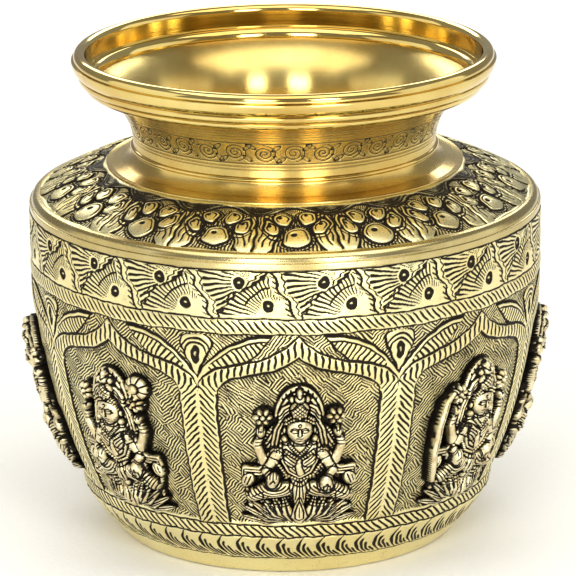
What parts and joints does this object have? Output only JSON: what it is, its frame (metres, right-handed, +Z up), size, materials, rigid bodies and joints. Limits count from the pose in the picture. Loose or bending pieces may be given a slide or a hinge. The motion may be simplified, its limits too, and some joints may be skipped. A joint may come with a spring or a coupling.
{
  "type": "kalash pot",
  "caption": "Round brass water pot with a moulded flared mouth, a sloping shoulder, a chased belly and cast seated figures soldered round its side.",
  "frame": {"origin": "centre of the resting ring at the bottom of the pot", "axes": "+Z up the pot's axis, out of its mouth; -Y through the middle of the first figure"},
  "size_m": [0.127, 0.127, 0.115],
  "materials": {
    "chased_brass": "chased by hand, bright ridges and dark oxide left in the cuts",
    "plain_brass": "plain turned surface, lightly brushed",
    "polished_brass": "turned and buffed to a mirror polish",
    "cast_brass": "sand cast, dark patina in the hollows, bright on the high spots",
    "brazing": "dull brazing alloy"
  },
  "bodies": {
    "root": {"belly_bowl": "chased_brass", "shoulder_dome": "chased_brass", "base_disc": "plain_brass", "shoulder_band": "plain_brass", "neck_collar": "polished_brass", "neck_bead": "polished_brass", "mouth_rim": "polished_brass", "seated_figure_1": "cast_brass", "seated_figure_2": "cast_brass", "seated_figure_3": "cast_brass", "seated_figure_4": "cast_brass", "seated_figure_5": "cast_brass", "seated_figure_6": "cast_brass", "seated_figure_7": "cast_brass", "seated_figure_8": "cast_brass", "figure_solder_1": "brazing", "figure_solder_2": "brazing", "figure_solder_3": "brazing", "figure_solder_4": "brazing", "figure_solder_5": "brazing", "figure_solder_6": "brazing", "figure_solder_7": "brazing", "figure_solder_8": "brazing"}
  },
  "joints": []
}
